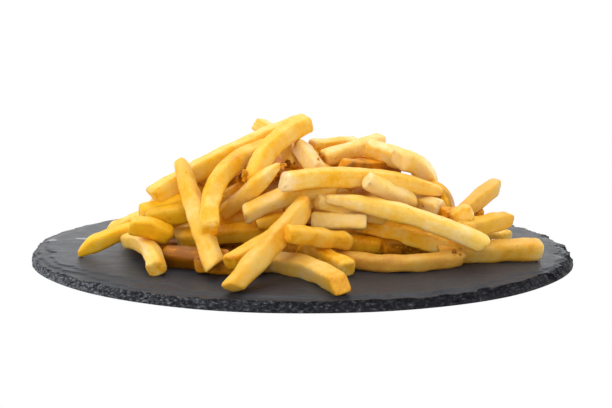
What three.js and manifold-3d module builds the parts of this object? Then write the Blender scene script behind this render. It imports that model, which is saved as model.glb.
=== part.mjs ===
// A portion of french fries heaped on a round slate server.
// Millimetres, +Z up. The origin is the middle of the slate's underside, and -Y is the front.
// Two solids: the slate with its knapped rim, and the heap, which is a smaller core with
// the fries that show fused on at true size.

import * as THREE from "three";
import { mergeVertices } from "three/addons/utils/BufferGeometryUtils.js";
import Module from "manifold-3d";

const wasm = await Module();
wasm.setup();

// ---------------------------------------------------------------- driving sizes

const SLATE = {
  radius: 141.4,
  thickness: 5.5,
  rimPoints: 112,
  wobble: 0.45, // height of the slow waves of the outline
  waves: [
    { around: 2, phase: Math.PI / 2, share: 3 }, // a little wider than deep
    { around: 3, phase: 0.7, share: 1 },
    { around: 7, phase: 2.1, share: 0.5 },
    { around: 13, phase: 0, share: 0.3 },
  ],
  seed: 23,
};
// Rings of the rim, which is knapped from above, from the underside up: height as a share of
// the thickness, and how far in the ring lies and how deep its chips go.
const RIM_RINGS = [
  { height: 0, inset: 0.9, chip: 0.5 },
  { height: 0.25, inset: 0.2, chip: 0.9 },
  { height: 0.65, inset: 1.1, chip: 2.2 },
  { height: 1, inset: 2.2, chip: 3.6 },
];

const PLATE_TOP = SLATE.thickness;
const GAP = 0.3; // between the slate and the heap

const CORE = { x: -3, y: 2, side: 82, front: 62, back: 68, height: 38, power: 2.4 };
const CORE_RINGS = 7;
const CORE_SPOKES = 30;
const CORE_SKIRT = 4; // depth of the core below the slate's top, before it is trimmed

const EYE = new THREE.Vector3(1.7, -628, 117); // low viewpoint in front of the heap
const NEAR_Y = -150; // where a fry of the front starts on its way back
const MOST_TRAVEL = 250;
const TOUCH = 0.05; // clear distance that counts as touching
const LEAST_STEP = 0.1;
const SAMPLES = 13; // points along each fry
const SNUG = 0.82; // how closely two fries bed together, as a share of their thickness
const CORE_BED = 0.6; // the same against the core
const CORE_STEEPNESS = 0.6; // shortest way to the core's flank, as a share of the drop onto it
const END_BED = [0.7, 0.9]; // the same at the last two points of an end, which is cut flat
const END_TRIM = 0.75; // how far in from a cut end a fry carries others, in half thicknesses
const SECTION_CHAMFER = 0.44; // width of a corner, as a share of half the thickness
// A pointed end: its thickness and reach as shares of the fry's, and how hollow it runs out.
const TIP = { thickness: 0.35, reach: 0.35, power: 1.5 };
const LEAN = 1; // most depth that a laid fry runs through, as a share of its width in view
const TURN_PER_SEGMENT = 9; // degrees of bend that one straight segment stands for
const POINTED_SEGMENTS = 4; // least straight segments of a fry with a pointed end
const CUT_SLANT = 0.35; // most slope of a cut end
const CUT_SEED = 1000;

// The fries at the back are dropped by rule.
const PILE = {
  seed: 11,
  wanted: 34,
  tries: 2600,
  halfWidth: 84,
  front: -16,
  depth: 96,
  length: [40, 86],
  thickness: [7.8, 9.4],
  roll: 40,
  bend: 8,
  tilt: 0.7,
  dropFrom: 110,
  headroom: 0.6, // room kept under the skyline, as a share of the thickness
  loft: 23, // most height over the core or the slate
  edge: 122, // furthest reach from the middle
};

// Outline of the heap from the front, [x, z] on the upright plane through the middle.
// The dropped fries stay below it.
const SKYLINE = [
  [-130, 2], [-104, 14], [-88, 22], [-80, 32], [-60, 43], [-38, 55], [-24, 62], [4, 62],
  [12, 56], [45, 56], [66, 44], [75, 28], [86, 16], [112, 12], [128, 4],
];

// The fries at the front, from the back of the heap forwards. `at` is where each one shows,
// [x, z] on the upright plane through the middle of the slate, seen from EYE: two ends, or
// two ends and a bend. Each is laid back from there until it rests on what lies behind it,
// and `flat` ones lie on the slate. `taper` is how far each end runs out to a point, `cuts` is
// the slope of each cut end, and `lean` is a LEAN of its own.
const FRONT_FRIES = [
  { name: "crown_knob", at: [[-24, 69], [-1, 56]], thick: 8.5, roll: 10 },
  { name: "crown_arch", at: [[4.5, 57.3], [15, 58], [29, 58.8]], thick: 8, roll: 15 },
  { name: "shade_back", at: [[21.5, 46.5], [51, 46.5]], thick: 8, roll: 10 },
  { name: "shade_mid", at: [[-41, 36], [-21, 44.5]], thick: 9, roll: 10 },
  { name: "crown_stub", at: [[11, 51], [41, 60.5]], thick: 8.5, roll: 25 },
  { name: "crown_right", at: [[33.5, 57], [56, 49.5]], thick: 9.5, roll: 30 },
  { name: "crest_bend", at: [[50, 50.5], [60.5, 47.5], [67, 37.5]], thick: 10, roll: 20 },
  { name: "gold_bit", at: [[-10, 62.5], [-6.5, 46.5]], thick: 8, roll: 20 },
  { name: "shade_left", at: [[-45, 27], [-29, 36]], thick: 8.5, roll: 10 },
  { name: "shade_low", at: [[-47, 15.5], [-20.5, 24]], thick: 8.5, roll: 15 },
  { name: "tan_low", at: [[49.5, 25], [85.5, 17]], thick: 8, roll: 20 },
  { name: "bend_down", at: [[66.5, 36.5], [73.3, 32.5], [76.5, 21]], thick: 8, roll: 30 },
  { name: "pale_short", at: [[-1.5, 57], [8.5, 43.5]], thick: 9, roll: 20 },
  { name: "left_back", at: [[-102, 12.3], [-76, 22.5]], thick: 7, roll: 25 },
  { name: "bright_left", at: [[-76, 26], [-54.5, 34.5]], thick: 8, roll: 15 },
  { name: "left_upper", at: [[-87, 20.6], [-60, 28.5]], thick: 8, roll: 25 },
  { name: "left_under", at: [[-84, 18], [-57, 22.5]], thick: 10, roll: 20, taper: [0.7, 0] },
  { name: "left_tip", at: [[-120.5, -1.5], [-106.5, 6.6], [-90, 12]], thick: 8.5, roll: 20, taper: [1, 0] },
  { name: "left_dark", at: [[-83.5, 3.5], [-53.5, 1.5]], thick: 8, roll: 10 },
  { name: "foot_dark", at: [[-73, -2.1], [-38.5, -4.8]], thick: 10, roll: 35, flat: true },
  { name: "mid_orange", at: [[-68, 7.5], [-16.5, 12.5]], thick: 9, roll: 25 },
  { name: "mid_orange_b", at: [[-25, 15.5], [5, 24.5]], thick: 8, roll: 20 },
  { name: "mid_hidden", at: [[-10, 24], [12.5, 30.5]], thick: 7.5, roll: 20 },
  { name: "top_long", at: [[-80, 29.8], [-38.5, 53], [-1, 69.2]], thick: 10.5, roll: 15 },
  {
    name: "left_elbow", at: [[-94, 6.5], [-83.3, 2.8], [-78.6, -9.6]], thick: 8.5, roll: 0,
    lean: 3, cuts: [[0, 0], [0.1, 0]],
  },
  {
    name: "left_lump", at: [[-92, 14.5], [-83, 13.5], [-71, 8.5]], thick: 9.5, roll: 20,
    cuts: [[0, -0.5], [0, 0]],
  },
  { name: "fork_left", at: [[-31.5, 20], [-9.5, 30.5], [17, 35.5]], thick: 9, roll: 35 },
  { name: "foot_under", at: [[-57, -6.5], [-21, -7.5]], thick: 8, roll: 5, flat: true },
  {
    name: "steep_pale", at: [[-65, 49], [-57, 22.5], [-47, -8]], thick: 9.5, roll: 15,
    cuts: [[0, 0], [0, 1]], taper: [0.5, 0],
  },
  { name: "elbow_top", at: [[-49.5, 11.5], [-45, 38.5], [-17.5, 57]], thick: 9, roll: 25 },
  { name: "fork_top", at: [[2.6, 70.2], [-12.5, 61], [-27.5, 38.5]], thick: 10, roll: 30, taper: [0, 0.5] },
  { name: "slim_point", at: [[-12.5, 48], [-28, 33.5], [-42, 21.5]], thick: 8, roll: 20, taper: [1, 0] },
  { name: "long_level", at: [[-11.5, 38], [25, 41], [73.5, 33.5]], thick: 9.5, roll: 10, taper: [0, 0.7] },
  { name: "tan_high", at: [[46, 31.5], [74.5, 24.5]], thick: 8, roll: 25 },
  { name: "hole_fill", at: [[23, 5.5], [44.5, 4]], thick: 8, roll: 15 },
  { name: "hole_fill_b", at: [[43, 3.5], [68.5, 3.5]], thick: 7.5, roll: 10 },
  { name: "under_long", at: [[27, 18.5], [51.5, 11.5], [86, 2]], thick: 9.5, roll: 15, taper: [0, 0.6] },
  { name: "right_bit", at: [[74, 21], [95.5, 21.5]], thick: 7.5, roll: 20 },
  {
    name: "right_flag", at: [[83.5, 21], [102.2, 36.8]], thick: 8.2, roll: 30,
    cuts: [[0, 0], [0.6, 0]], taper: [0.5, 0],
  },
  { name: "right_knob", at: [[79.5, 18.5], [90.5, 23.5]], thick: 9, roll: 10, taper: [0.4, 0.4] },
  { name: "right_stub", at: [[88, 13], [110, 8.2]], thick: 8.5, roll: 15 },
  { name: "right_thumb", at: [[84.5, 13], [109.8, 19]], thick: 8.6, roll: 15, taper: [0, 0.2] },
  { name: "foot_right", at: [[72, 0.5], [127.5, 2.8]], thick: 10.6, roll: 20, flat: true },
  { name: "foot_smile", at: [[16, -2], [50, -5.5], [85, -1.8]], thick: 8, roll: 15, flat: true },
  { name: "saddle", at: [[33.5, 39.5], [58, 27.5]], thick: 8.5, roll: 30 },
  { name: "low_knob", at: [[-3.5, 1], [10, 5]], thick: 7.5, roll: 10 },
  { name: "low_slant", at: [[3, 3], [24.5, -9]], thick: 8.5, roll: 20 },
  {
    name: "foot_front", at: [[-29, -6.2], [1, -7.8], [20.8, -17.6]], thick: 9.5, roll: 20,
    flat: true, cuts: [[0, 0], [-0.3, -0.2]], taper: [0.5, 0.1],
  },
  { name: "fan_pale", at: [[7, 28.5], [44.5, 19]], thick: 7.5, roll: 20 },
  {
    name: "short_pale", at: [[5, 17.5], [34, 17]], thick: 8.5, roll: -15,
    lean: 0.2, cuts: [[0, 0], [0, 0.3]],
  },
  { name: "long_pale", at: [[12, 29.5], [51.5, 22], [97.5, 5]], thick: 9, roll: 15, taper: [0.8, 0] },
  { name: "foot_slant", at: [[-39.5, -6], [-14.5, 9]], thick: 8, roll: 20 },
  {
    name: "front_diagonal", at: [[2, 26], [-38, -19.4]], thick: 10.3, roll: 15,
    cuts: [[0.7, -0.5], [-0.8, 0]], taper: [0, 0.35],
  },
  { name: "short_level", at: [[-8.5, 10.5], [24, 6.5]], thick: 8.5, roll: 15 },
];

// ---------------------------------------------------------------- small helpers

const BACK = new THREE.Vector3(0, 1, 0);
const DOWN = new THREE.Vector3(0, 0, -1);
const UP = new THREE.Vector3(0, 0, 1);

// Seeded random numbers from 0 to 1.
function seeded(seed) {
  let state = seed;
  const draw = () => {
    state = (state * 16807) % 2147483647;
    return state / 2147483647;
  };
  for (let warmUp = 0; warmUp < 4; warmUp++) draw();
  return draw;
}

function clamp01(value) {
  return Math.min(Math.max(value, 0), 1);
}

// Height at x of a line through [x, z] points.
function heightOnLine(points, x) {
  if (x <= points[0][0]) return points[0][1];
  for (let i = 1; i < points.length; i++) {
    const [x0, z0] = points[i - 1];
    const [x1, z1] = points[i];
    if (x <= x1) return z0 + ((z1 - z0) * (x - x0)) / (x1 - x0);
  }
  return points.at(-1)[1];
}

// Triangles between two rings of the same count, and a flat fan on one ring.
function bridge(triangles, lower, upper, count) {
  for (let i = 0; i < count; i++) {
    const next = (i + 1) % count;
    triangles.push(lower + i, lower + next, upper + next);
    triangles.push(lower + i, upper + next, upper + i);
  }
}

function fanTo(triangles, ring, count, centre, facingUp) {
  for (let i = 0; i < count; i++) {
    const next = (i + 1) % count;
    if (facingUp) triangles.push(ring + i, ring + next, centre);
    else triangles.push(ring + next, ring + i, centre);
  }
}

function meshGeometry(vertices, triangles) {
  const geometry = new THREE.BufferGeometry();
  geometry.setAttribute("position", new THREE.Float32BufferAttribute(vertices.flat(), 3));
  geometry.setIndex(triangles);
  return geometry;
}

// ---------------------------------------------------------------- slate

function slowWaves(angle) {
  const heights = SLATE.waves.map((wave) => wave.share * Math.sin(wave.around * angle + wave.phase));
  return SLATE.wobble * heights.reduce((sum, height) => sum + height, 0);
}

// One ring of the rim: slow waves shared by all rings, and sharp chips of its own.
function rimRing(ring, index) {
  const draw = seeded(SLATE.seed + index);
  const z = ring.height * SLATE.thickness;
  const points = [];
  for (let i = 0; i < SLATE.rimPoints; i++) {
    const angle = (2 * Math.PI * i) / SLATE.rimPoints;
    const chip = ring.chip * draw() ** 2;
    const radius = SLATE.radius + slowWaves(angle) - ring.inset - chip;
    points.push([radius * Math.cos(angle), radius * Math.sin(angle), z]);
  }
  return points;
}

// The rings moved sideways, so that the middle of the whole outline is the origin.
function centred(vertices) {
  const box = new THREE.Box3();
  for (const point of vertices) box.expandByPoint(new THREE.Vector3(...point));
  const middle = box.getCenter(new THREE.Vector3());
  return vertices.map(([x, y, z]) => [x - middle.x, y - middle.y, z]);
}

function slateGeometry() {
  const count = SLATE.rimPoints;
  const vertices = centred(RIM_RINGS.flatMap(rimRing));
  const triangles = [];
  for (let ring = 1; ring < RIM_RINGS.length; ring++) {
    bridge(triangles, (ring - 1) * count, ring * count, count);
  }
  vertices.push([0, 0, 0], [0, 0, SLATE.thickness]);
  const underside = vertices.length - 2;
  fanTo(triangles, 0, count, underside, false);
  fanTo(triangles, (RIM_RINGS.length - 1) * count, count, underside + 1, true);
  return meshGeometry(vertices, triangles);
}

// ---------------------------------------------------------------- core

function coreHeight(x, y) {
  const depth = y < CORE.y ? CORE.front : CORE.back;
  const out = Math.hypot((x - CORE.x) / CORE.side, (y - CORE.y) / depth);
  return PLATE_TOP + CORE.height * (1 - out ** CORE.power);
}

function coreGeometry() {
  const vertices = [];
  const triangles = [];
  for (let ring = 0; ring < CORE_RINGS; ring++) {
    const out = ring === 0 ? 1 : 1 - ring / CORE_RINGS;
    for (let spoke = 0; spoke < CORE_SPOKES; spoke++) {
      const angle = (2 * Math.PI * spoke) / CORE_SPOKES;
      const depth = Math.sin(angle) < 0 ? CORE.front : CORE.back;
      const x = CORE.x + CORE.side * out * Math.cos(angle);
      const y = CORE.y + depth * out * Math.sin(angle);
      vertices.push([x, y, coreHeight(x, y)]);
    }
  }
  const foot = vertices.slice(0, CORE_SPOKES).map(([x, y]) => [x, y, PLATE_TOP - CORE_SKIRT]);
  vertices.push(...foot);
  vertices.push([CORE.x, CORE.y, PLATE_TOP + CORE.height], [CORE.x, CORE.y, PLATE_TOP - CORE_SKIRT]);
  const footRing = CORE_RINGS * CORE_SPOKES;
  const top = footRing + CORE_SPOKES;
  bridge(triangles, footRing, 0, CORE_SPOKES);
  for (let ring = 1; ring < CORE_RINGS; ring++) {
    bridge(triangles, (ring - 1) * CORE_SPOKES, ring * CORE_SPOKES, CORE_SPOKES);
  }
  fanTo(triangles, (CORE_RINGS - 1) * CORE_SPOKES, CORE_SPOKES, top, true);
  fanTo(triangles, footRing, CORE_SPOKES, top + 1, false);
  return meshGeometry(vertices, triangles);
}

// ---------------------------------------------------------------- laying the fries

// Everything that a new fry can rest on: slate, core and the fries laid so far.
const heap = [];

// Distance from a point to the stretch between two points.
function distanceToStretch(point, from, to) {
  const stretch = to.clone().sub(from);
  const along = clamp01(point.clone().sub(from).dot(stretch) / stretch.lengthSq());
  return point.distanceTo(from.clone().addScaledVector(stretch, along));
}

// Clear distance between a ball and everything in the heap.
function clearance(point, radius) {
  let clear = point.z - radius - PLATE_TOP;
  const overCore = point.z - radius * CORE_BED - coreHeight(point.x, point.y);
  clear = Math.min(clear, overCore * CORE_STEEPNESS);
  for (const fry of heap) {
    for (let i = 1; i < SAMPLES; i++) {
      const reach = (radius + fry.thick / 2) * SNUG;
      clear = Math.min(clear, distanceToStretch(point, fry.carrying[i - 1], fry.carrying[i]) - reach);
    }
  }
  return clear;
}

// Adds a fry to the heap. Its carrying line stops short of its cut ends.
function rest(fry) {
  const trim = (end, next) => {
    const inward = next.clone().sub(end).normalize();
    return end.clone().addScaledVector(inward, (END_TRIM * fry.thick) / 2);
  };
  const first = trim(fry.path[0], fry.path[1]);
  const last = trim(fry.path[SAMPLES - 1], fry.path[SAMPLES - 2]);
  heap.push({ ...fry, carrying: [first, ...fry.path.slice(1, -1), last] });
}

// How far a ball moves from start, in steps of the given direction, before it touches.
function travel(start, direction, radius, limit) {
  let moved = 0;
  while (moved < limit) {
    const clear = clearance(start.clone().addScaledVector(direction, moved), radius);
    if (clear < TOUCH) break;
    moved += Math.max(clear, LEAST_STEP);
  }
  return Math.min(moved, limit);
}

// The straight line that a stiff fry comes to rest on: it touches what the travels meet on
// both sides of its middle, stays short of all of them, and is no steeper than mostSlope.
function restingLine(travels, mostSlope) {
  const last = SAMPLES - 1;
  const middle = last / 2;
  let nearest = null;
  for (let i = 0; i < middle; i++) {
    for (let j = last; j > middle; j--) {
      const slope = ((travels[j] - travels[i]) / (j - i)) * last;
      const atMiddle = travels[i] + (slope * (middle - i)) / last;
      if (nearest === null || atMiddle < nearest.atMiddle) nearest = { atMiddle, slope };
    }
  }
  const slope = Math.min(Math.max(nearest.slope, -mostSlope), mostSlope);
  const base = Math.min(...travels.map((moved, i) => moved - (slope * i) / last));
  return { base, slope };
}

// Points along a line through two points, or a smooth bend through three.
function samplesThrough(points) {
  const [start, bend, end] = points.length === 3 ? points : [points[0], null, points[1]];
  const samples = [];
  let bendAt = 0.5;
  if (bend) {
    const before = Math.hypot(bend[0] - start[0], bend[1] - start[1]);
    const after = Math.hypot(end[0] - bend[0], end[1] - bend[1]);
    bendAt = before / (before + after);
  }
  for (let i = 0; i < SAMPLES; i++) {
    const t = i / (SAMPLES - 1);
    let weights = [1 - t, 0, t];
    if (bend) {
      weights = [
        ((t - bendAt) * (t - 1)) / bendAt,
        (t * (t - 1)) / (bendAt * (bendAt - 1)),
        (t * (t - bendAt)) / (1 - bendAt),
      ];
    }
    const middle = bend ?? start;
    const mix = (axis) => start[axis] * weights[0] + middle[axis] * weights[1] + end[axis] * weights[2];
    samples.push([mix(0), mix(1)]);
  }
  return samples;
}

// Half the thickness at sample i of a fry, less where an end runs out to a point.
function halfThickness(thick, taper, i) {
  const t = i / (SAMPLES - 1);
  const pinch = (amount, fromEnd) => {
    const inTip = clamp01(1 - fromEnd / TIP.reach);
    return 1 - amount * (1 - TIP.thickness) * inTip ** TIP.power;
  };
  return (thick / 2) * pinch(taper[0], t) * pinch(taper[1], 1 - t);
}

// Radius that touches other things at sample i of a fry.
function contactRadius(thick, taper, i) {
  const fromEnd = Math.min(i, SAMPLES - 1 - i);
  return halfThickness(thick, taper, i) * (END_BED[fromEnd] ?? 1);
}

// A fry of the front, laid back along the lines of sight from EYE.
function layBack(fry) {
  const taper = fry.taper ?? [0, 0];
  const points = samplesThrough(fry.at);
  const starts = [];
  const steps = [];
  const radii = [];
  points.forEach(([x, z], i) => {
    const step = new THREE.Vector3(x, 0, z).sub(EYE).divideScalar(-EYE.y);
    steps.push(step);
    starts.push(EYE.clone().addScaledVector(step, NEAR_Y - EYE.y));
    radii.push(contactRadius(fry.thick, taper, i));
  });
  let moves;
  if (fry.flat) {
    const heights = starts.map((_, i) => PLATE_TOP + halfThickness(fry.thick, taper, i));
    moves = starts.map((start, i) => (heights[i] - start.z) / steps[i].z);
  } else {
    const travels = starts.map((start, i) => travel(start, steps[i], radii[i], MOST_TRAVEL));
    let length = 0;
    for (let i = 1; i < SAMPLES; i++) {
      length += Math.hypot(points[i][0] - points[i - 1][0], points[i][1] - points[i - 1][1]);
    }
    const line = restingLine(travels, (fry.lean ?? LEAN) * length);
    moves = starts.map((start, i) => line.base + (line.slope * i) / (SAMPLES - 1));
  }
  const path = starts.map((start, i) => start.clone().addScaledVector(steps[i], moves[i]));
  rest({ path, thick: fry.thick, roll: fry.roll, taper, cuts: fry.cuts, facing: BACK });
}

// Whether a dropped fry stays inside the heap's outline from the front and from above.
function staysInHeap(path, thick) {
  return path.every((point) => {
    const near = -EYE.y / (point.y - EYE.y);
    const x = EYE.x + (point.x - EYE.x) * near;
    const z = EYE.z + (point.z - EYE.z) * near;
    const floor = Math.max(coreHeight(point.x, point.y), PLATE_TOP);
    const low = z + thick * PILE.headroom <= heightOnLine(SKYLINE, x);
    return low && point.z <= floor + PILE.loft && Math.hypot(point.x, point.y) <= PILE.edge;
  });
}

// A fry of the back, dropped straight down with its middle over (x, y).
function drop({ x, y, heading, length, thick, roll, bend }) {
  const along = new THREE.Vector3(Math.cos(heading), Math.sin(heading), 0);
  const across = new THREE.Vector3(-along.y, along.x, 0);
  const starts = [];
  for (let i = 0; i < SAMPLES; i++) {
    const t = i / (SAMPLES - 1) - 0.5;
    const sideways = bend * (4 * t * t - 1 / 3);
    const start = new THREE.Vector3(x, y, PILE.dropFrom).addScaledVector(along, t * length);
    starts.push(start.addScaledVector(across, sideways));
  }
  const travels = starts.map((start, i) => {
    return travel(start, DOWN, contactRadius(thick, [0, 0], i), PILE.dropFrom);
  });
  const line = restingLine(travels, PILE.tilt * length);
  const path = starts.map((start, i) => {
    return start.clone().addScaledVector(DOWN, line.base + (line.slope * i) / (SAMPLES - 1));
  });
  if (!staysInHeap(path, thick)) return false;
  rest({ path, thick, roll, taper: [0, 0], facing: UP });
  return true;
}

function dropPile() {
  const draw = seeded(PILE.seed);
  const between = ([low, high]) => low + (high - low) * draw();
  let placed = 0;
  for (let tried = 0; tried < PILE.tries && placed < PILE.wanted; tried++) {
    const fry = {
      x: CORE.x + PILE.halfWidth * (2 * draw() - 1),
      y: PILE.front + PILE.depth * draw(),
      heading: Math.PI * draw(),
      length: between(PILE.length),
      thick: between(PILE.thickness),
      roll: PILE.roll * draw(),
      bend: PILE.bend * (draw() - 0.5),
    };
    if (drop(fry)) placed += 1;
  }
}

// ---------------------------------------------------------------- one fry as a solid

// Eight corners of a square with cut corners, in halves of the thickness.
function sectionCorners() {
  const flat = 1 - SECTION_CHAMFER;
  return [[1, flat], [flat, 1], [-flat, 1], [-1, flat], [-1, -flat], [-flat, -1], [flat, -1], [1, -flat]];
}

// Number of straight segments that follow the bends and the pointed ends.
function segmentCount(fry) {
  const first = fry.path[1].clone().sub(fry.path[0]);
  const last = fry.path.at(-1).clone().sub(fry.path.at(-2));
  const turn = THREE.MathUtils.radToDeg(first.angleTo(last));
  const pointed = fry.taper[0] > 0 || fry.taper[1] > 0;
  const wanted = Math.max(Math.ceil(turn / TURN_PER_SEGMENT), pointed ? POINTED_SEGMENTS : 1);
  const most = SAMPLES - 1;
  return [1, 2, 3, 4, 6].find((count) => count >= wanted) ?? most;
}

function fryGeometry(fry, index) {
  const draw = seeded(CUT_SEED + index);
  const slope = () => CUT_SLANT * (2 * draw() - 1);
  let { path, taper, cuts } = fry;
  if (path.at(-1).x < path[0].x) {
    path = path.toReversed();
    taper = taper.toReversed();
    cuts = cuts?.toReversed();
  }
  const slants = cuts ?? [[slope(), slope()], [slope(), slope()]];
  const corners = sectionCorners();
  const segments = segmentCount(fry);
  const roll = THREE.MathUtils.degToRad(fry.roll);
  const vertices = [];
  const triangles = [];
  for (let ring = 0; ring <= segments; ring++) {
    const i = Math.round((ring * (SAMPLES - 1)) / segments);
    const before = path[Math.max(i - 1, 0)];
    const after = path[Math.min(i + 1, SAMPLES - 1)];
    const along = after.clone().sub(before).normalize();
    const rise = along.clone().cross(fry.facing).normalize();
    const front = along.clone().cross(rise);
    const u = rise.clone().multiplyScalar(Math.cos(roll)).addScaledVector(front, Math.sin(roll));
    const v = front.clone().multiplyScalar(Math.cos(roll)).addScaledVector(rise, -Math.sin(roll));
    const half = halfThickness(fry.thick, taper, i);
    let slant = [0, 0];
    if (ring === 0) slant = slants[0];
    if (ring === segments) slant = slants[1];
    for (const [a, b] of corners) {
      const point = path[i].clone().addScaledVector(u, a * half).addScaledVector(v, b * half);
      point.addScaledVector(along, (a * slant[0] + b * slant[1]) * half);
      vertices.push(point.toArray());
    }
  }
  for (let ring = 1; ring <= segments; ring++) {
    bridge(triangles, (ring - 1) * corners.length, ring * corners.length, corners.length);
  }
  const last = segments * corners.length;
  for (let i = 1; i < corners.length - 1; i++) {
    triangles.push(0, i + 1, i);
    triangles.push(last, last + i, last + i + 1);
  }
  return meshGeometry(vertices, triangles);
}

// ---------------------------------------------------------------- joining

function toSolid(geometry) {
  const bare = geometry.clone();
  bare.deleteAttribute("normal");
  bare.deleteAttribute("uv");
  const merged = mergeVertices(bare);
  return new wasm.Manifold(new wasm.Mesh({
    numProp: 3,
    vertProperties: merged.attributes.position.array,
    triVerts: new Uint32Array(merged.index.array),
  }));
}

function toGeometry(solid) {
  const mesh = solid.getMesh();
  const geometry = new THREE.BufferGeometry();
  geometry.setAttribute("position", new THREE.BufferAttribute(mesh.vertProperties, 3));
  geometry.setIndex(new THREE.BufferAttribute(mesh.triVerts, 1));
  return geometry;
}

// The slab under the heap that is cut away, so that the heap clears the slate.
function trimmingSlab() {
  const side = 4 * SLATE.radius;
  const depth = SLATE.radius;
  const slab = new THREE.BoxGeometry(side, side, depth);
  slab.translate(0, 0, PLATE_TOP + GAP - depth / 2);
  return slab;
}

// The joined heap. Only its largest closed surface is kept, which fills the hollows that the
// joining has sealed.
function heapGeometry() {
  dropPile();
  FRONT_FRIES.forEach(layBack);
  let joined = toSolid(coreGeometry());
  heap.forEach((fry, index) => {
    joined = joined.add(toSolid(fryGeometry(fry, index)));
  });
  joined = joined.subtract(toSolid(trimmingSlab()));
  const surfaces = joined.decompose().sort((a, b) => b.volume() - a.volume());
  return toGeometry(surfaces[0]);
}

// ---------------------------------------------------------------- the object

function named(name, geometry, material) {
  const mesh = new THREE.Mesh(geometry, material);
  mesh.name = name;
  return mesh;
}

const slateMaterial = new THREE.MeshStandardMaterial({ color: 0x4b4c4e, roughness: 0.75, metalness: 0 });
const fryMaterial = new THREE.MeshStandardMaterial({ color: 0xe9b24a, roughness: 0.55, metalness: 0 });

const portion = new THREE.Group();
portion.add(named("slate_plate", slateGeometry(), slateMaterial));
portion.add(named("fries_heap", heapGeometry(), fryMaterial));

export default portion;
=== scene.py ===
"""French fries heaped on a round slate server: the looks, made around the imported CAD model.

The heap is laid by the same rule and from the same sizes as its solid: the fries of the back are
dropped, and those of the front are laid back along the lines of sight from EYE. Shapes are in
millimetres, up to mesh_object, which turns them into metres.
"""

import math
from dataclasses import dataclass

import bmesh
import bpy
import numpy as np
from mathutils import Matrix, Vector


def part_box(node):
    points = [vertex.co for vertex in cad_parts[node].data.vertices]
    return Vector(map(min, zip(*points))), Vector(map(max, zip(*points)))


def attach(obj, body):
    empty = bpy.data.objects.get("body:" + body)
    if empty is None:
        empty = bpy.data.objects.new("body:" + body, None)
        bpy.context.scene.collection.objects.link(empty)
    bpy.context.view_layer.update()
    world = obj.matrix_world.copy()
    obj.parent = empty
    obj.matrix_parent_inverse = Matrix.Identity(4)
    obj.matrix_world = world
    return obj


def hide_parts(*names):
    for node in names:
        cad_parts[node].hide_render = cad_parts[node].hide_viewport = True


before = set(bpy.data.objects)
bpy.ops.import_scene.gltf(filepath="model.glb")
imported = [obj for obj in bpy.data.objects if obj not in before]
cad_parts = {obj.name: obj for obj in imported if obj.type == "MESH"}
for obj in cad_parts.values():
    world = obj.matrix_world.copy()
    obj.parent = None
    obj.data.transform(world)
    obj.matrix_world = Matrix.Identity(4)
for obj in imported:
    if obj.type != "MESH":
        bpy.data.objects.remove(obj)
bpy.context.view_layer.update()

MM = 0.001
BODY = "root"

# -------- the heap's sizes, as in the solids

PLATE_TOP = 5.5
PLATE_RADIUS = 141.4
CORE = {"x": -3, "y": 2, "side": 82, "front": 62, "back": 68, "height": 38, "power": 2.4}
EYE = np.array([1.7, -628.0, 117.0])  # low viewpoint in front of the heap
NEAR_Y = -150.0  # where a fry of the front starts on its way back
MOST_TRAVEL = 250.0  # how far it goes at most
TOUCH = 0.05  # clear distance that counts as touching
LEAST_STEP = 0.1
SAMPLES = 13  # points along each fry
SNUG = 0.82  # how closely two fries bed together, as a share of their thickness
END_BED = [0.7, 0.9]  # the same at the last two points of an end, which is cut flat
CORE_BED = 0.6  # the same against the core
CORE_STEEPNESS = 0.6  # shortest way to the core's flank, as a share of the drop onto it
END_TRIM = 0.75  # how far in from a cut end a fry carries others, in half thicknesses
TIP_THICKNESS = 0.35  # of a pointed end, as a share of the fry's
TIP_REACH = 0.35  # as a share of the fry's length
TIP_POWER = 1.5  # how hollow a pointed end runs out
LEAN = 1.0  # most depth that a laid fry runs through, as a share of its width in view
CUT_SLANT = 0.35
CUT_SEED = 1000  # with a fry's own number, of its cut ends and its surface
PILE = {
    "seed": 11, "wanted": 34, "tries": 2600, "half_width": 84, "front": -16, "depth": 96,
    "length": (40, 86), "thickness": (7.8, 9.4), "roll": 40, "bend": 8, "tilt": 0.7,
    "drop_from": 110, "headroom": 0.6, "loft": 23, "edge": 122,
}
SKYLINE = np.array([
    (-130, 2), (-104, 14), (-88, 22), (-80, 32), (-60, 43), (-38, 55), (-24, 62), (4, 62),
    (12, 56), (45, 56), (66, 44), (75, 28), (86, 16), (112, 12), (128, 4),
], float)

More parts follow.
